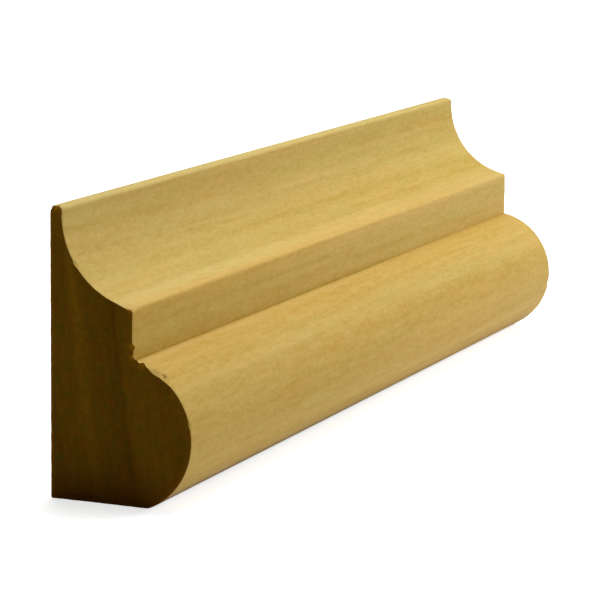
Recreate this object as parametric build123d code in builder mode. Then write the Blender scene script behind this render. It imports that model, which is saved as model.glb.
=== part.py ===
from build123d import *

import os
from math import acos, degrees, sqrt

# Base cap moulding: a short straight length of solid poplar trim, machined on its face and sawn square at both ends.
# It stands on its bottom flat as it would on top of a baseboard, with its back to the wall. +X runs along
# the grain, the moulded face looks towards -Y, the back is at +Y and +Z is up. The origin is the middle of the
# bounding box at floor level. Going down the face from the thin top edge, the section is a cove, a square fillet
# and a large bead that turns under to the bottom flat.

# Driving dimensions in millimetres, given in the inch fractions that such a section is drawn in
inch = 25.4
length = 5.5 * inch
height = (1 + 7 / 16) * inch
projection = 3 / 4 * inch  # from the back to the nose of the bead
top_flat = 1 / 16 * inch  # the thin top edge
cove_radius = 7 / 16 * inch
fillet_depth = 7 / 16 * inch  # from the back to the square fillet
ridge_height = 31 / 32 * inch  # from the bottom to the arris between cove and fillet
bead_radius = 3 / 8 * inch
bead_centre_height = 11 / 32 * inch
arris = 0.25  # radius left on the outside corners by the light sanding after the moulder
ridge_arris = 0.6  # the sanding rounds the ridge between cove and fillet further, because it stands out

# The cove leaves a short straight lip below the top edge, where its arc starts upright
cove_centre_out = top_flat + cove_radius
cove_centre_height = ridge_height + sqrt(cove_radius**2 - (cove_centre_out - fillet_depth) ** 2)
cove_turn = degrees(acos((cove_centre_out - fillet_depth) / cove_radius))

# The bead is one arc, from the foot of the fillet round its nose to the edge of the bottom flat
bead_centre_out = projection - bead_radius
fillet_foot = bead_centre_height + sqrt(bead_radius**2 - (fillet_depth - bead_centre_out) ** 2)
bottom_flat = bead_centre_out + sqrt(bead_radius**2 - bead_centre_height**2)

# The section is drawn from the foot of the back: first number out from the wall, second number up
section_plane = Plane(origin=(0, projection / 2, 0), x_dir=(0, -1, 0), z_dir=(-1, 0, 0))

with BuildPart() as base_cap_moulding:
    with BuildSketch(section_plane) as section:
        with BuildLine():
            back = Line((0, 0), (0, height))
            top_edge = Line(back @ 1, (top_flat, height))
            lip = Line(top_edge @ 1, (top_flat, cove_centre_height))
            cove = JernArc(lip @ 1, lip % 1, cove_radius, cove_turn)
            fillet_face = Line(cove @ 1, (fillet_depth, fillet_foot))
            bead = ThreePointArc(fillet_face @ 1, (projection, bead_centre_height), (bottom_flat, 0))
            bottom = Line(bead @ 1, back @ 0)
        make_face()
        outside_corners = [back @ 0, back @ 1, top_edge @ 1, bead @ 1]
        fillet([section.vertices().sort_by_distance(corner)[0] for corner in outside_corners], radius=arris)
        fillet(section.vertices().sort_by_distance(cove @ 1)[0], radius=ridge_arris)
    extrude(amount=length / 2, both=True)

base_cap_moulding.part.label = "base_cap_moulding"

os.makedirs("parts", exist_ok=True)
export_step(base_cap_moulding.part, "parts/base_cap_moulding.step")
print(f"section {projection:.2f} x {height:.2f} mm, length {length:.2f} mm, bottom flat {bottom_flat:.2f} mm")
print(f"fillet face {ridge_height - fillet_foot:.2f} mm, lip {height - cove_centre_height:.2f} mm")
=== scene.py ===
import math

import bmesh
import bpy
from mathutils import Matrix, Vector
from mathutils.kdtree import KDTree


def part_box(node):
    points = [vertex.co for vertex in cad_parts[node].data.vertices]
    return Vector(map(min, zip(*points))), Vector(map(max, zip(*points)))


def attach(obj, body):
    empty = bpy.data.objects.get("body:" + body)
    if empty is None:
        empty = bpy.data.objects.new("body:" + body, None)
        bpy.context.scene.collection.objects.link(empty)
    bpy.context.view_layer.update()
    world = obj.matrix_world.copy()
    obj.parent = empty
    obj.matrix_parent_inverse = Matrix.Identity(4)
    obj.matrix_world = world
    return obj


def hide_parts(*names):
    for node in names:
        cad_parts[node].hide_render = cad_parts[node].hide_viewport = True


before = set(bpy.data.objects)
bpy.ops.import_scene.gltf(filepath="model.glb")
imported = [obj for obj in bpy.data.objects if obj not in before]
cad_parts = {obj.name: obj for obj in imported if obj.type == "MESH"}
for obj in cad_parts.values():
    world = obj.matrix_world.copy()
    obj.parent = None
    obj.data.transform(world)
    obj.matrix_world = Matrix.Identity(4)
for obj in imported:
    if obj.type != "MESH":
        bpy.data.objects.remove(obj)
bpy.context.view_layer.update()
mm = 0.001
nearly = 0.01 * mm  # points closer than this are the same point
low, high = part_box("base_cap_moulding")


# camera, floor and light, with the moulding standing on z = 0
studio = {  # mm and degrees
    "cameraPlace": (-393.64, -157.83, 88.91),
    "heading": 22.526,  # from +X towards +Y
    "lookDown": 9.949,
    "roll": 0.636,
    "lens": 180.9,
    "sensor": 36,
    "overhead": {"place": (300, 0, 850), "across": 700, "watts": 6.5},
    "fill": {"place": (400, -400, 300), "across": 300, "watts": 1.9},
    "roomLight": 0.052,
    "floorAcross": 8000,
    "floorColour": "#F1F1EF",
    "floorGlow": 0.72,  # what the eye sees the floor give off, on top of the light that it reflects
}


def linearColour(hexText):
    # sRGB hex, as picked off a screen, to the linear values that a shader takes
    parts = [int(hexText[i:i + 2], 16) / 255 for i in (1, 3, 5)]
    return [c / 12.92 if c <= 0.04045 else ((c + 0.055) / 1.055) ** 2.4 for c in parts] + [1.0]


def addNode(tree, kind, inputs=None, stops=None, **settings):
    # one node: its settings, its ramp stops, and for each input a value or the output that feeds it
    node = tree.nodes.new(kind)
    for name, value in settings.items():
        setattr(node, name, value)
    for number, (place, colour) in enumerate(stops or []):
        marks = node.color_ramp.elements
        mark = marks[number] if number < 2 else marks.new(place)  # a new ramp has two stops
        mark.position = place
        mark.color = colour
    for name, value in (inputs or {}).items():
        if isinstance(value, bpy.types.NodeSocket):
            tree.links.new(value, node.inputs[name])
        else:
            node.inputs[name].default_value = value
    return node


def newMaterial(name):
    material = bpy.data.materials.new(name)
    material.use_nodes = True
    material.node_tree.nodes.clear()
    return material, material.node_tree


def seenDirectly(tree):
    # 1 for what the camera, a gloss or a glass looks at, 0 for light on its way round the room
    rays = addNode(tree, "ShaderNodeLightPath").outputs
    seen = rays["Is Camera Ray"]
    for name in ("Is Glossy Ray", "Is Transmission Ray"):
        seen = addNode(tree, "ShaderNodeMath", {0: seen, 1: rays[name]}, operation="MAXIMUM").outputs[0]
    return seen


def addSoftbox(name, values):
    place = Vector(values["place"]) * mm
    aim = place.to_track_quat("Z", "Y").to_euler()  # at the moulding
    bpy.ops.object.light_add(type="AREA", location=place, rotation=aim)
    lamp = bpy.context.object
    lamp.name = name
    lamp.data.shape = "DISK"
    lamp.data.size = values["across"] * mm
    lamp.data.energy = values["watts"]


bpy.ops.object.select_all(action="DESELECT")
bpy.ops.object.camera_add()
camera = bpy.context.object
camera.data.sensor_width = studio["sensor"]
camera.data.lens = studio["lens"]
camera.matrix_world = (Matrix.Translation(Vector(studio["cameraPlace"]) * mm)
                       @ Matrix.Rotation(math.radians(studio["heading"] - 90), 4, "Z")
                       @ Matrix.Rotation(math.radians(90 - studio["lookDown"]), 4, "X")
                       @ Matrix.Rotation(math.radians(studio["roll"]), 4, "Z"))
bpy.context.scene.camera = camera
bpy.context.scene.view_settings.view_transform = "Standard"

addSoftbox("overhead softbox", studio["overhead"])
addSoftbox("fill softbox", studio["fill"])

bpy.ops.object.select_all(action="DESELECT")
bpy.ops.mesh.primitive_plane_add(size=studio["floorAcross"] * mm)
floor = bpy.context.object
floor.name = "studio_floor"
paintedFloor, tree = newMaterial("matt painted board")  # flat pale paint, no gloss
board = addNode(tree, "ShaderNodeBsdfDiffuse", {"Color": linearColour(studio["floorColour"])})
glow = addNode(tree, "ShaderNodeMath", {0: seenDirectly(tree), 1: studio["floorGlow"]},
               operation="MULTIPLY")
shine = addNode(tree, "ShaderNodeEmission", {"Strength": glow.outputs[0]})
both = addNode(tree, "ShaderNodeAddShader", {0: board.outputs[0], 1: shine.outputs[0]})
addNode(tree, "ShaderNodeOutputMaterial", {"Surface": both.outputs[0]})
floor.data.materials.append(paintedFloor)

world = bpy.data.worlds.new("white room")
bpy.context.scene.world = world
world.use_nodes = True
room = world.node_tree
room.nodes.clear()
level = addNode(room, "ShaderNodeMath", {0: seenDirectly(room), 1: studio["roomLight"]}, operation="MAXIMUM")
sky = addNode(room, "ShaderNodeBackground", {"Color": (1, 1, 1, 1), "Strength": level.outputs[0]})
addNode(room, "ShaderNodeOutputWorld", {"Surface": sky.outputs[0]})
print("camera, floor and light are in")


# the length of moulding, drawn as its section and drawn out along the grain
inch = 25.4
moulding = {  # mm unless it says otherwise
    "topFlat": inch / 16,
    "coveRadius": inch * 7 / 16,
    "filletDepth": inch * 7 / 16,  # from the back to the square fillet
    "ridgeHeight": inch * 31 / 32,
    "beadRadius": inch * 3 / 8,
    "beadCentreHeight": inch * 11 / 32,
    # the rounding of the arrises, and in how many steps
    "arris": (0.25, 5),
    "frontArris": (0.52, 7),  # the front of the top edge stands out, so the sanding rounds it further
    "ridgeArris": (0.35, 7),  # before the sander, see below
    "arcStep": 3.1,  # degrees between points on the cove and the bead
    "facePoint": 0.16,  # spacing of points round the moulded face
    "backPoint": 0.32,  # and round the back and the bottom
    "endRows": (0.15, 0.2),  # rows of faces inside the edge of each sawn end
    "endGrid": 0.3,
    "endMerge": 0.04,  # points of the end that are closer than this are joined
    # how far apart the rings of points stand, counted from each end: (how many, spacing)
    "rings": ((10, 0.15), (8, 0.4), (8, 1.2)),
    "middleRing": 3.0,
    "smoothBelow": 40,  # degrees, for edges that look round
}


def clearPick(piece):
    # the mesh in edit mode, with nothing selected
    mesh = bmesh.from_edit_mesh(piece.data)
    for part in (mesh.faces, mesh.edges, mesh.verts):
        for item in part:
            item.select_set(False)
    return mesh


def pickPoints(piece, test):
    # selects the points that pass the test, and what lies between them
    mesh = clearPick(piece)
    for point in mesh.verts:
        point.select_set(test(point.co))
    mesh.select_flush(True)
    bmesh.update_edit_mesh(piece.data)


def pickEdges(piece, test):
    mesh = clearPick(piece)
    for edge in mesh.edges:
        if test(edge):
            edge.select_set(True)
    bmesh.update_edit_mesh(piece.data)


def drawLine(out, up):
    bpy.ops.mesh.extrude_region_move(TRANSFORM_OT_translate={"value": (0, -out * mm, up * mm)})


def sectionPoint(out, up):
    # out from the back and up from the foot, on the near end
    return Vector((low.x, high.y - out * mm, low.z + up * mm))


def onPiece(along, out, up):
    return sectionPoint(out, up) + Vector((along * mm, 0, 0))


def drawArc(centre, degrees):
    # spin turns clockwise seen from +X
    bpy.ops.mesh.spin(steps=round(abs(degrees) / moulding["arcStep"]), angle=math.radians(degrees),
                      center=sectionPoint(*centre), axis=(1, 0, 0))


def drawSection():
    shape = moulding
    height = (high.z - low.z) / mm
    projection = (high.y - low.y) / mm
    coveOut = shape["topFlat"] + shape["coveRadius"]
    inside = coveOut - shape["filletDepth"]
    coveUp = shape["ridgeHeight"] + math.sqrt(shape["coveRadius"] ** 2 - inside ** 2)
    coveTurn = math.degrees(math.acos(inside / shape["coveRadius"]))
    beadOut = projection - shape["beadRadius"]
    beadUp = shape["beadCentreHeight"]
    rise = math.sqrt(shape["beadRadius"] ** 2 - (shape["filletDepth"] - beadOut) ** 2)
    beadTurn = (math.degrees(math.atan2(rise, shape["filletDepth"] - beadOut))
                + math.degrees(math.asin(beadUp / shape["beadRadius"])))
    bottomFlat = beadOut + math.sqrt(shape["beadRadius"] ** 2 - beadUp ** 2)

    bpy.ops.object.select_all(action="DESELECT")
    bpy.ops.mesh.primitive_plane_add(size=mm, location=sectionPoint(0, 0),
                                     rotation=(0, math.radians(90), 0))
    piece = bpy.context.object
    bpy.ops.object.transform_apply()
    bpy.ops.object.mode_set(mode="EDIT")
    bpy.ops.mesh.select_mode(type="VERT")
    bpy.ops.mesh.merge(type="CENTER")  # one point, at the foot of the back
    drawLine(0, height)
    drawLine(shape["topFlat"], 0)
    drawLine(0, coveUp - height)
    drawArc((coveOut, coveUp), coveTurn)
    drawLine(0, beadUp + rise - shape["ridgeHeight"])
    drawArc((beadOut, beadUp), -beadTurn)
    drawLine(-bottomFlat, 0)
    bpy.ops.mesh.select_all(action="SELECT")
    bpy.ops.mesh.remove_doubles(threshold=nearly)

    # a rounding starts its radius away from a square corner, and nearer where the corner turns less
    for corners, turn, (radius, steps) in (
        (((0, 0), (0, height), (bottomFlat, 0)), 90, shape["arris"]),
        (((shape["filletDepth"], shape["ridgeHeight"]),), coveTurn, shape["ridgeArris"]),
        (((shape["topFlat"], height),), 90, shape["frontArris"]),
    ):
        places = [sectionPoint(*corner) for corner in corners]
        pickPoints(piece, lambda co: min((co - place).length for place in places) < nearly)
        bpy.ops.mesh.bevel(offset=radius * math.tan(math.radians(turn / 2)) * mm, segments=steps,
                           affect="VERTICES")
    return piece


def onBackOrBottom(edge):
    return all(end.co.y > high.y - nearly or end.co.z < low.z + nearly for end in edge.verts)


def refineSection(piece):
    # closer points, so that the sawn edge can wear and the curves stay round
    for spacing, behind in ((moulding["facePoint"], False), (moulding["backPoint"], True)):
        mesh = bmesh.from_edit_mesh(piece.data)
        counts = {round(edge.calc_length() / mm / spacing) for edge in mesh.edges
                  if onBackOrBottom(edge) == behind}
        for count in sorted(counts - {0, 1}, reverse=True):
            pickEdges(piece, lambda edge: onBackOrBottom(edge) == behind
                      and round(edge.calc_length() / mm / spacing) == count)
            bpy.ops.mesh.subdivide(number_cuts=count - 1)


def closeSection(piece):
    # the sawn end: two rows of faces that follow the edge, and a fine grid inside them
    bpy.ops.mesh.select_all(action="SELECT")
    bpy.ops.mesh.edge_face_add()
    for row in moulding["endRows"]:
        bpy.ops.mesh.inset(thickness=row * mm)
    bpy.ops.mesh.hide(unselected=True)
    for axis, start, stop in (((0, 1, 0), low.y, high.y), ((0, 0, 1), low.z, high.z)):
        count = round((stop - start) / mm / moulding["endGrid"])
        for step in range(1, count):
            place = start + (stop - start) * step / count
            bpy.ops.mesh.select_all(action="SELECT")
            bpy.ops.mesh.bisect(plane_co=[place * part for part in axis], plane_no=axis)
    bpy.ops.mesh.reveal()
    bpy.ops.mesh.select_all(action="SELECT")
    bpy.ops.mesh.remove_doubles(threshold=moulding["endMerge"] * mm)


def ringSteps():
    ends = [spacing for count, spacing in moulding["rings"] for _ in range(count)]
    middle = (high.x - low.x) / mm - 2 * sum(ends)
    count = round(middle / moulding["middleRing"])
    return ends + [middle / count] * count + ends[::-1]


def drawOut(piece):
    bpy.ops.mesh.select_all(action="SELECT")
    for step in ringSteps():
        bpy.ops.mesh.extrude_region_move(TRANSFORM_OT_translate={"value": (step * mm, 0, 0)})
    reach = max(point.co.x for point in bmesh.from_edit_mesh(piece.data).verts)
    bpy.ops.transform.translate(value=(high.x - reach, 0, 0))
    bpy.ops.mesh.select_all(action="SELECT")
    bpy.ops.mesh.normals_make_consistent(inside=False)


def sawnEnd(face):
    # it faces within about 45 degrees of the grain
    return abs(face.normal.x) > 0.7


piece = drawSection()
piece.name = "poplar_base_cap"
refineSection(piece)
closeSection(piece)
drawOut(piece)
bpy.ops.object.mode_set(mode="OBJECT")
print("the moulding is drawn out:", len(piece.data.polygons), "faces")


# what the saw, the sander and handling did to it, all of it inward except for the torn fibres, and the
# painted highlights and painted shade on its face and along its foot
wear = {  # mm, with places along it from -70 at the near end to 70 at the far end
    # how far the sander leaned on the ridge, by place along it
    "ridgeSanding": (
        (-70, 0.0), (-66, 1.0), (-22, 1.0), (-8, 0.1), (14, 0.1), (28, 0.8), (68, 0.9), (70, 0.2),
    ),
    "ridgeReach": 1.3,
    "sanderPasses": 24,
    # places along it for the two tables below: the near end, half way and the far end
    "stations": (-70, 0, 70),
    # paler wood above 0, deeper wood below it: height, and then how much at each station.
    # Mostly painted light: a painted highlight along the sanded ridge, the top edge and the bead's side of
    # the inside corner, and painted shade on the fillet's side of the corner, on the fillet towards the near
    # end and along the foot.
    # The smaller steps on the bead and the cove are partly the wood's own tone and partly painted light and
    # shade
    "toneWithPaintedLight": (
        # foot, in painted shade
        (0, -0.8, -0.8, -0.5), (0.8, -0.7, -0.6, -0.3), (1.4, -0.2, -0.15, -0.05),
        # bead
        (2.2, -0.04, 0, 0), (10, -0.09, -0.05, -0.03), (13.9, -0.08, -0.06, 0), (14.3, 0.02, 0, 0),
        (16, 0.04, 0.04, 0), (17.5, 0.02, 0.02, 0), (17.7, 0.1, 0.08, -0.06),
        # inside corner, with a painted highlight on the bead's side of it and painted shade on the fillet's
        # side
        (17.93, 0.5, 0.38, -0.06), (18.03, 0.5, 0.42, -0.1), (18.08, 0.1, 0.1, -0.1), (18.12, -0.3, -0.3, 0),
        # fillet, in painted shade towards the near end
        (18.25, -0.05, 0.02, 0.06), (22.8, -0.12, 0.06, 0.02), (23.6, -0.14, 0.24, 0.08),
        # ridge, with a painted highlight
        (24.1, -0.04, 0.2, 0.18), (24.4, 0.02, 0.26, 0.28), (24.7, 0.5, 0.3, 0.1), (25.2, 0.6, 0.26, 0.04),
        # cove
        (25.55, 0.2, 0.08, 0), (26, 0.22, 0.1, -0.04), (28.5, 0.04, -0.04, -0.1), (31, 0.06, 0, -0.06),
        (34, 0.08, 0, -0.08), (35.9, 0.06, 0, -0.06),
        # top edge, with a painted highlight
        (36.4, 0.56, 0.44, 0.1), (36.6, 0.56, 0.44, 0.1),
    ),
    "toneStops": 0.5,  # this far from the back
    # greener below 0, more golden above, given the same way. Partly painted light: the golden band along the
    # ridge and the inside corner paints the colour of the shade there, and the whiter top edge paints a
    # sheen
    "warmth": (
        # foot and bead
        (0, 0.12, 0.12, 0.12), (12, 0.18, 0.18, 0.2), (16.8, 0.1, 0.1, 0.1), (17.6, 0.34, 0.34, 0.25),
        # inside corner and fillet
        (18.0, 0.2, 0.2, 0.2), (18.15, 0, 0, 0.1), (22.8, 0.04, 0.1, 0.05), (23.6, 0.25, 0.4, 0.1),
        # ridge, golden as painted shade
        (24.1, 0.5, 0.5, 0.25), (24.5, 0.65, 0.5, 0.25), (24.7, 0.4, 0.25, 0.1), (25, 0.05, 0, -0.1),
        # cove, and the top edge whiter as a painted sheen
        (27, 0, -0.05, -0.1), (36, 0.02, 0, -0.08), (36.4, -0.2, -0.2, -0.25), (37, -0.2, -0.2, -0.25),
    ),
    # painted shade in the foot, darker at the near end, by place along it, and how far up it reaches
    "paintedFootShadeAlong": ((-70, 1.3), (-20, 1.2), (10, 0.75), (50, 0.3), (70, 0.2)),
    "paintedFootShadeHeight": 2.3,
    # chips and nicks: place (along from the near end, out from the back, up from the foot),
    # shift (along, out, up), and how far it reaches
    "chips": (
        ((0, 0.0, 36.5), (0.1, 0.08, -0.24), 0.55),
        ((0, 3.45, 29.5), (0.08, -0.16, -0.12), 0.65),
        ((0, 10.9, 24.6), (0.06, 0.03, -0.24), 2.3),
        ((0, 14.0, 17.15), (0.08, -0.14, -0.26), 1.2),
        ((0, 15.2, 16.4), (0.08, -0.12, -0.17), 1.8),
        ((0, 18.8, 10.9), (0.05, -0.15, 0.0), 0.55),
        ((1.0, 15.0, 16.5), (0.0, -0.09, -0.12), 0.32),  # a small pit on top of the bead
        # the far end
        ((139.7, 1.2, 36.5), (-0.1, -0.05, -0.15), 0.7),
        ((139.7, 18.6, 7.2), (-0.1, -0.16, 0.05), 0.7),
        ((139.7, 0.0, 9.0), (-0.1, 0.15, 0.0), 0.9),
    ),
    # fibres torn up in the inside corner at the near end, given the same way
    "torn": (
        ((0, 11.1, 19.9), (0.0, 0.42, 0.0), 0.55),
        ((0, 11.1, 19.2), (0.0, 0.2, 0.05), 0.6),
        ((0, 11.2, 18.1), (0.0, 0.34, 0.34), 0.9),
        ((0, 12.5, 17.8), (0.0, 0.16, 0.34), 0.65),
    ),
    # where loose fibres brown the wood: place, how far, how strong
    "frayed": (
        ((0, 0.8, 36.5), 0.85, 1.1),
        ((0, 11.1, 19.9), 0.6, 1.3),
        ((0, 11.2, 18.5), 0.65, 1.2),
        ((0, 12.4, 17.8), 0.6, 1.2),
        ((0, 10.6, 24.7), 0.7, 0.5),
        ((1.0, 15.0, 16.5), 0.4, 1.3),
    ),
    # the broken edge round the sawn ends. Its clouds stay below the level, so that nothing moves outward
    "ragged": {"size": 1.1, "depth": 0.05, "reach": 0.3, "contrast": 2.2, "brightness": 1.15, "level": 1.35},
    # how much browner the broken edge is: by height, and along the back
    "browning": ((0, 0.9), (1, 1.0), (3, 0.9), (5, 0.35), (34, 0.25), (35.8, 0.9), (37, 0.9)),
    "backBrowning": 0.9,
    "backBand": 0.6,
    "rimReach": 0.5,
}


def between(stops, place):
    # straight runs between the stops
    for (start, first), (stop, last) in zip(stops, stops[1:]):
        if start <= place <= stop:
            return first + (last - first) * (place - start) / (stop - start)
    return 0.0


def weigh(piece, name, weights):
    # a vertex group, with the weight of each point in turn
    group = piece.vertex_groups.new(name=name)
    for index, weight in enumerate(weights):
        if weight > 0.001:
            group.add([index], weight, "REPLACE")


def finishWith(piece, kind, name, **settings):
    modifier = piece.modifiers.new(name, kind)
    for setting, value in settings.items():
        setattr(modifier, setting, value)
    bpy.ops.object.modifier_apply(modifier=name)


def fibreClouds():
    pattern = bpy.data.textures.new("torn fibres", "CLOUDS")
    pattern.noise_scale = wear["ragged"]["size"] * mm
    pattern.noise_basis = "IMPROVED_PERLIN"
    pattern.noise_depth = 2
    pattern.contrast = wear["ragged"]["contrast"]
    pattern.intensity = wear["ragged"]["brightness"]
    return pattern


def nudge(piece, place, shift, reach):
    # moves the point nearest to the place, and what lies round it less and less
    mesh = bmesh.from_edit_mesh(piece.data)
    nearest = min((point.co for point in mesh.verts), key=lambda co: (co - place).length).copy()
    pickPoints(piece, lambda co: (co - nearest).length < nearly / 10)
    along, out, up = shift
    bpy.ops.transform.translate(value=(along * mm, -out * mm, up * mm), use_proportional_edit=True,
                                proportional_edit_falloff="SMOOTH", proportional_size=reach * mm)


def sawnEdgeDistance(piece):
    # how far each point is from the edge of a sawn end, in mm
    side, end = set(), set()
    for face in piece.data.polygons:
        (end if sawnEnd(face) else side).update(face.vertices)
    edge = KDTree(len(side & end))
    for index in side & end:
        edge.insert(piece.data.vertices[index].co, index)
    edge.balance()
    return [edge.find(point.co)[2] / mm for point in piece.data.vertices]


def paint(piece, name, values):
    # a number at each point, for the materials to read
    piece.data.attributes.new(name, "FLOAT", "POINT").data.foreach_set("value", values)


def alongFace(table, place):
    # by height for each station, and then between the stations
    levels = [between([(stop[0], stop[number]) for stop in table], place.z) for number in (1, 2, 3)]
    return between(list(zip(wear["stations"], levels)), place.x)


def toneWithPaintedLight(place):
    # how much paler, or deeper, each part of the face is drawn: partly the wood's own tone, and mostly
    # painted highlights and painted shade
    if place.y > high.y / mm - wear["toneStops"]:
        return 0.0
    return alongFace(wear["toneWithPaintedLight"], place)


def frayed(place):
    # 1 or more in the middle of loose fibres, and less towards their edge
    return max(strength * max(0.0, 1 - (place - onPiece(*spot)).length / mm / reach)
               for spot, reach, strength in wear["frayed"])


def paintedFootShadeAt(place):
    # painted shade along the foot, fading upward
    return max(0, between(wear["paintedFootShadeAlong"], place.x) * (1 - place.z / wear["paintedFootShadeHeight"]))


def browned(place, far):
    # the broken rim of a sawn end
    strength = between(wear["browning"], place.z / mm)
    if place.y > high.y - wear["backBand"] * mm:
        strength = wear["backBrowning"]
    return strength * max(0, 1 - far / wear["rimReach"])


def wearDown(piece, toEdge):
    bpy.ops.object.select_all(action="DESELECT")
    piece.select_set(True)
    bpy.context.view_layer.objects.active = piece
    places = [point.co / mm for point in piece.data.vertices]
    ridgeOut = high.y / mm - moulding["filletDepth"]
    toRidge = [math.hypot(place.y - ridgeOut, place.z - moulding["ridgeHeight"]) for place in places]
    weigh(piece, "ridge", [between(wear["ridgeSanding"], place.x) * max(0, 1 - far / wear["ridgeReach"])
                           for place, far in zip(places, toRidge)])
    finishWith(piece, "SMOOTH", "sanded ridge", factor=0.5, iterations=wear["sanderPasses"],
               use_x=False, vertex_group="ridge")
    ragged = wear["ragged"]
    weigh(piece, "sawn edge", [max(0, 1 - far / ragged["reach"]) for far in toEdge])
    finishWith(piece, "DISPLACE", "ragged edge", texture=fibreClouds(), texture_coords="LOCAL",
               vertex_group="sawn edge", strength=ragged["depth"] * mm, mid_level=ragged["level"])


toEdge = sawnEdgeDistance(piece)
wearDown(piece, toEdge)
points = [point.co.copy() for point in piece.data.vertices]
# the tone carries painted highlights and painted shade, as well as the wood's own tone
paint(piece, "tone", [toneWithPaintedLight(place / mm) for place in points])
# the warmth carries the colour of painted shade along the ridge and the corner, and a painted sheen on the
# top edge
paint(piece, "warmth", [alongFace(wear["warmth"], place / mm) for place in points])
paint(piece, "frayed", [frayed(place) for place in points])
# painted shade along the foot
paint(piece, "paintedFootShade", [paintedFootShadeAt(place / mm) for place in points])
paint(piece, "browned", [browned(place, far) for place, far in zip(points, toEdge)])
bpy.ops.object.mode_set(mode="EDIT")
for place, shift, reach in wear["chips"] + wear["torn"]:
    nudge(piece, onPiece(*place), shift, reach)
bpy.ops.object.mode_set(mode="OBJECT")
print("the edges are worn")


# poplar off the moulder: planed by the cutters, then lightly sanded, with nothing on it.
# Pale gold, with soft deeper streaks along the grain, and hardly any pores or gloss
planed = {  # sizes are mm along the grain, across it and up
    "deep": "#B28D0C",
    "pale": "#D9BB6D",
    # size, lean in degrees, how wavy, how strong
    "streaks": (
        ((0.45, 0.28, 0.28), 0, 0.0, 0.4),  # the nap of the sanded fibres
        ((1.2, 0.5, 0.5), 0, 0.2, 0.4),
        ((3.6, 0.8, 0.8), 0, 0.4, 0.36),
        ((14, 1.3, 1.3), 0, 0.5, 0.32),
        ((100, 1.5, 1.5), 0, 0.4, 0.46),
        ((300, 2.6, 60), -7, 0.0, 0.4),  # the growth rings, which lean out at the foot
    ),
    # how the hue drifts, given the same way, and the tints from its green side to its golden side
    "hueDrift": (
        ((40, 3, 3), 0, 0.0, 0.8),
        ((6, 1.2, 1.2), 0, 0.0, 0.6),
        ((1, 0.45, 0.45), 0, 0.0, 0.6),
    ),
    "tints": ((0.3, "#F9FFFB"), (0.7, "#FFF9F0"), (1.0, "#FFF5D8")),
    # what lies over the clean wood, as painted on the mesh: how strong, colour. The first is painted shade
    # along the foot; the others are the browned rim and the loose fibres
    "stains": {"paintedFootShade": (1.0, "#5A4410"), "browned": (0.6, "#7C5A1C"), "frayed": (1.4, "#855606")},
    "pore": (2.2, 0.16, 0.16),  # real pores are 0.08 wide, drawn at twice that to show
    "poreStarts": 0.62,  # a value of the noise, so a lower one gives more pores
    "poreFull": 0.75,
    "poreTone": 0.12,
    "nap": (0.9, 0.35, 0.35),
    "knifeMark": (1.7, 40, 40),
    "knifeWaver": 1.2,
    "relief": 0.012,  # how high the nap stands, which the next two are parts of
    "poreDepth": 0.8,
    "knifeDepth": 0.12,
    "roughness": 0.6,
    "gloss": 0.15,
}
woodIor = 1.5
waveEachUnit = math.pi / 10  # the scale at which a Wave node has one band to the unit
noiseLow, noiseHigh = 0.3, 0.7  # nearly all of a Noise node's values lie between these
stainGrain = (0.4, 0.25, 0.25)  # mm


def mapped(tree, sizes, lean=0):
    # the object's own coordinates, scaled so that one unit is the size given in mm
    where = addNode(tree, "ShaderNodeTexCoord")
    return addNode(tree, "ShaderNodeMapping", {"Vector": where.outputs["Object"],
                   "Rotation": (math.radians(lean), 0, 0),
                   "Scale": [size * mm for size in sizes]}, vector_type="TEXTURE").outputs[0]


def streaked(tree, value, streaks, middle, detail):
    # adds streaks of every size to a value, round the middle
    start = middle - sum(strength for size, lean, wavy, strength in streaks) / 2
    value = addNode(tree, "ShaderNodeMath", {0: value, 1: start}, operation="ADD").outputs[0]
    for size, lean, wavy, strength in streaks:
        streak = addNode(tree, "ShaderNodeTexNoise", {"Vector": mapped(tree, size, lean), "Scale": 1.0,
                         "Detail": detail, "Distortion": wavy})
        value = addNode(tree, "ShaderNodeMath", {0: streak.outputs["Fac"], 1: strength, 2: value},
                        operation="MULTIPLY_ADD").outputs[0]
    return value


def stainedAndShaded(tree, colour, stains):
    # each stain, and the painted shade along the foot, is painted on the mesh, and the grain takes it up
    # unevenly, so its edge looks broken
    for name, (strength, stainColour) in stains.items():
        painted = addNode(tree, "ShaderNodeAttribute", attribute_name=name)
        grains = addNode(tree, "ShaderNodeTexNoise", {"Vector": mapped(tree, stainGrain), "Scale": 1.0,
                         "Detail": 1.0})
        edge = addNode(tree, "ShaderNodeMapRange", {"Value": grains.outputs["Fac"], "From Min": noiseLow,
                       "From Max": noiseHigh, "To Min": 0.4 * strength, "To Max": 1.6 * strength})
        cover = addNode(tree, "ShaderNodeMath", {0: painted.outputs["Fac"], 1: edge.outputs[0]},
                        operation="MULTIPLY", use_clamp=True)
        colour = addNode(tree, "ShaderNodeMix", {0: cover.outputs[0], 6: colour,
                         7: linearColour(stainColour)}, data_type="RGBA").outputs[2]
    return colour


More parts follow.
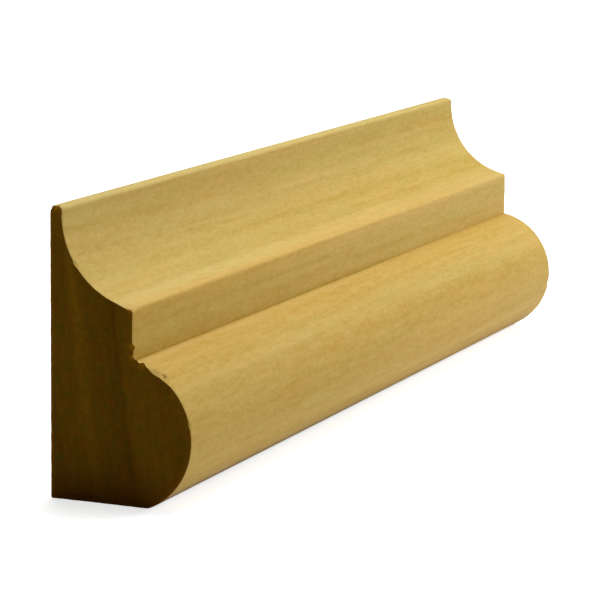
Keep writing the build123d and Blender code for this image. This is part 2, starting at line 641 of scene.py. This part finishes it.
def makePlanedPoplar():
    look = planed
    material, tree = newMaterial("planed and sanded poplar")
    # the tone painted on the mesh: the wood's own paler and deeper parts, with painted highlights and
    # painted shade
    tone = addNode(tree, "ShaderNodeAttribute", attribute_name="tone").outputs["Fac"]
    tone = streaked(tree, tone, look["streaks"], middle=0.5, detail=1.0)
    pores = addNode(tree, "ShaderNodeTexNoise", {"Vector": mapped(tree, look["pore"]), "Scale": 1.0,
                    "Detail": 1.0})
    dashes = addNode(tree, "ShaderNodeMapRange", {"Value": pores.outputs["Fac"],
                     "From Min": look["poreStarts"], "From Max": look["poreFull"]})
    tone = addNode(tree, "ShaderNodeMath", {0: dashes.outputs[0], 1: -look["poreTone"], 2: tone},
                   operation="MULTIPLY_ADD").outputs[0]
    wood = addNode(tree, "ShaderNodeMix", {0: tone, 6: linearColour(look["deep"]),
                   7: linearColour(look["pale"])}, data_type="RGBA")
    # the warmth painted on the mesh, with the colour of painted shade along the ridge and the corner and a
    # painted sheen on the top edge
    warmth = addNode(tree, "ShaderNodeAttribute", attribute_name="warmth").outputs["Fac"]
    warmth = streaked(tree, warmth, look["hueDrift"], middle=0.5, detail=2.0)
    tint = addNode(tree, "ShaderNodeValToRGB", {"Fac": warmth},
                   stops=[(place, linearColour(colour)) for place, colour in look["tints"]])
    tinted = addNode(tree, "ShaderNodeMix", {0: 1.0, 6: wood.outputs[2], 7: tint.outputs[0]},
                     data_type="RGBA", blend_type="MULTIPLY")
    colour = stainedAndShaded(tree, tinted.outputs[2], look["stains"])
    nap = addNode(tree, "ShaderNodeTexNoise", {"Vector": mapped(tree, look["nap"]), "Scale": 1.0,
                  "Detail": 2.0})
    knife = addNode(tree, "ShaderNodeTexWave", {"Vector": mapped(tree, look["knifeMark"]),
                    "Scale": waveEachUnit, "Distortion": look["knifeWaver"], "Detail": 1.0},
                    bands_direction="X")
    height = nap.outputs["Fac"]
    for mark, depth in ((dashes.outputs[0], -look["poreDepth"]), (knife.outputs["Fac"], look["knifeDepth"])):
        height = addNode(tree, "ShaderNodeMath", {0: mark, 1: depth, 2: height},
                         operation="MULTIPLY_ADD").outputs[0]
    bump = addNode(tree, "ShaderNodeBump", {"Strength": 1.0, "Distance": look["relief"] * mm,
                   "Height": height})
    skin = addNode(tree, "ShaderNodeBsdfPrincipled", {"Base Color": colour, "Roughness": look["roughness"],
                   "IOR": woodIor, "Specular IOR Level": look["gloss"], "Normal": bump.outputs[0]})
    addNode(tree, "ShaderNodeOutputMaterial", {"Surface": skin.outputs[0]})
    return material


# the same poplar cut across by a saw. The open ends of the fibres drink in the light, so it is darker than
# the face, dead matt and mottled, with the rings standing nearly upright.
# Its colours are darker still than sawn poplar, with painted shade in them, so that it is several times
# darker than the face
sawn = {  # mm and degrees
    "lateWood": "#523504",
    "earlyWood": "#88600C",
    "ringLean": -7.6,
    "ringSpan": 21,  # as far out from the back as the rings below go
    "wander": 0.9,  # how far a ring strays, and then over what size
    "wanderSize": (50, 2, 5),
    # the rings from the back to the nose of the bead, where 0 is late wood and 1 is early wood
    "rings": (
        (0, 0.5), (2.1, 0.46), (2.6, 0.66), (5, 0.6), (6.8, 0.8), (8.0, 0.5), (11.0, 0.42), (11.35, 0.26),
        (11.6, 0.28), (12.1, 0.6), (15, 0.66), (17.5, 0.5), (21, 0.45),
    ),
    # size along, across and up, lean, how wavy, how strong
    "grain": (
        ((20, 0.9, 9.0), -7.6, 0.0, 0.5),
        ((20, 2.4, 14.0), -7.6, 0.0, 0.3),
        ((20, 0.6, 0.9), -7.6, 0.0, 0.45),
    ),
    # patches of each hue: its colour, and from where to where in the mottling it comes in
    "patch": (4, 0.8, 1.1),
    "patchDepth": 0.5,
    "patchHues": (("#7C4A08", 0.5, 0.72), ("#5E540A", 0.5, 0.28)),  # rust and olive
    "speck": 0.3,
    "speckTone": 0.07,
    # painted shade, darker and redder towards the foot: the colour, where it starts, where it is full, how
    # strong
    "paintedFootShadeOnEnd": ("#74420A", 5.0, 0.5, 0.55),
    "stains": {"browned": (1.0, "#935A10"), "frayed": (1.0, "#B0780C")},
    "relief": 0.035,  # how high the specks stand, which the saw marks are a part of
    "sawMark": (40, 40, 0.9),
    "sawLean": 20,
    "sawWaver": 2.0,
    "sawDepth": 0.3,
    "roughness": 0.9,
    "gloss": 0.03,
}


def sawnRings(tree):
    # a ramp from the back to the bead, across the lean of the rings
    span = sawn["ringSpan"]
    wander = sawn["wander"] / span
    leaned = mapped(tree, (span, span, span), sawn["ringLean"])
    across = addNode(tree, "ShaderNodeSeparateXYZ", {0: leaned}).outputs["Y"]
    start = high.y / mm * math.cos(math.radians(sawn["ringLean"])) / span
    place = addNode(tree, "ShaderNodeMath", {0: across, 1: -1.0, 2: start - wander / 2},
                    operation="MULTIPLY_ADD").outputs[0]
    drift = addNode(tree, "ShaderNodeTexNoise", {"Vector": mapped(tree, sawn["wanderSize"]), "Scale": 1.0,
                    "Detail": 2.0})
    place = addNode(tree, "ShaderNodeMath", {0: drift.outputs["Fac"], 1: wander, 2: place},
                    operation="MULTIPLY_ADD").outputs[0]
    return addNode(tree, "ShaderNodeValToRGB", {"Fac": place},
                   stops=[(out / span, (level, level, level, 1)) for out, level in sawn["rings"]]).outputs[0]


def makeSawnPoplar():
    look = sawn
    material, tree = newMaterial("sawn poplar end grain")
    tone = streaked(tree, sawnRings(tree), look["grain"], middle=0.0, detail=1.0)
    colour = addNode(tree, "ShaderNodeMix", {0: tone, 6: linearColour(look["lateWood"]),
                     7: linearColour(look["earlyWood"])}, data_type="RGBA").outputs[2]
    mottle = addNode(tree, "ShaderNodeTexNoise", {"Vector": mapped(tree, look["patch"]), "Scale": 1.0,
                     "Detail": 2.0})
    for hue, start, stop in look["patchHues"]:
        patch = addNode(tree, "ShaderNodeMapRange", {"Value": mottle.outputs["Fac"], "From Min": start,
                        "From Max": stop, "To Min": 0.0, "To Max": look["patchDepth"]})
        colour = addNode(tree, "ShaderNodeMix", {0: patch.outputs[0], 6: colour, 7: linearColour(hue)},
                         data_type="RGBA").outputs[2]
    specks = addNode(tree, "ShaderNodeTexNoise", {"Vector": mapped(tree, (look["speck"],) * 3),
                     "Scale": 1.0, "Detail": 1.0})
    grit = addNode(tree, "ShaderNodeMapRange", {"Value": specks.outputs["Fac"], "From Min": noiseLow,
                   "From Max": noiseHigh, "To Min": 1 - look["speckTone"], "To Max": 1 + look["speckTone"]})
    colour = addNode(tree, "ShaderNodeMix", {0: 1.0, 6: colour, 7: grit.outputs[0]}, data_type="RGBA",
                     blend_type="MULTIPLY").outputs[2]
    up = addNode(tree, "ShaderNodeSeparateXYZ", {0: mapped(tree, (1, 1, 1))}).outputs["Z"]
    # painted shade, darker and redder towards the foot of the end
    endShadeColour, start, full, strength = look["paintedFootShadeOnEnd"]
    endShadeMix = addNode(tree, "ShaderNodeMapRange", {"Value": up, "From Min": start, "From Max": full,
                   "To Min": 0.0, "To Max": strength})
    colour = addNode(tree, "ShaderNodeMix", {0: endShadeMix.outputs[0], 6: colour, 7: linearColour(endShadeColour)},
                     data_type="RGBA").outputs[2]
    colour = stainedAndShaded(tree, colour, look["stains"])
    teeth = addNode(tree, "ShaderNodeTexWave", {"Vector": mapped(tree, look["sawMark"], look["sawLean"]),
                    "Scale": waveEachUnit, "Distortion": look["sawWaver"], "Detail": 1.0},
                    bands_direction="Z")
    height = addNode(tree, "ShaderNodeMath", {0: teeth.outputs["Fac"], 1: look["sawDepth"],
                     2: specks.outputs["Fac"]}, operation="MULTIPLY_ADD").outputs[0]
    bump = addNode(tree, "ShaderNodeBump", {"Strength": 1.0, "Distance": look["relief"] * mm,
                   "Height": height})
    skin = addNode(tree, "ShaderNodeBsdfPrincipled", {"Base Color": colour, "Roughness": look["roughness"],
                   "IOR": woodIor, "Specular IOR Level": look["gloss"], "Normal": bump.outputs[0]})
    addNode(tree, "ShaderNodeOutputMaterial", {"Surface": skin.outputs[0]})
    return material


piece.data.materials.clear()
piece.data.materials.append(makePlanedPoplar())
piece.data.materials.append(makeSawnPoplar())
for face in piece.data.polygons:
    face.material_index = 1 if sawnEnd(face) else 0
bpy.ops.object.select_all(action="DESELECT")
piece.select_set(True)
bpy.context.view_layer.objects.active = piece
bpy.ops.object.shade_smooth_by_angle(angle=math.radians(moulding["smoothBelow"]))
print("the wood is finished")

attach(piece, "root")
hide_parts("base_cap_moulding")
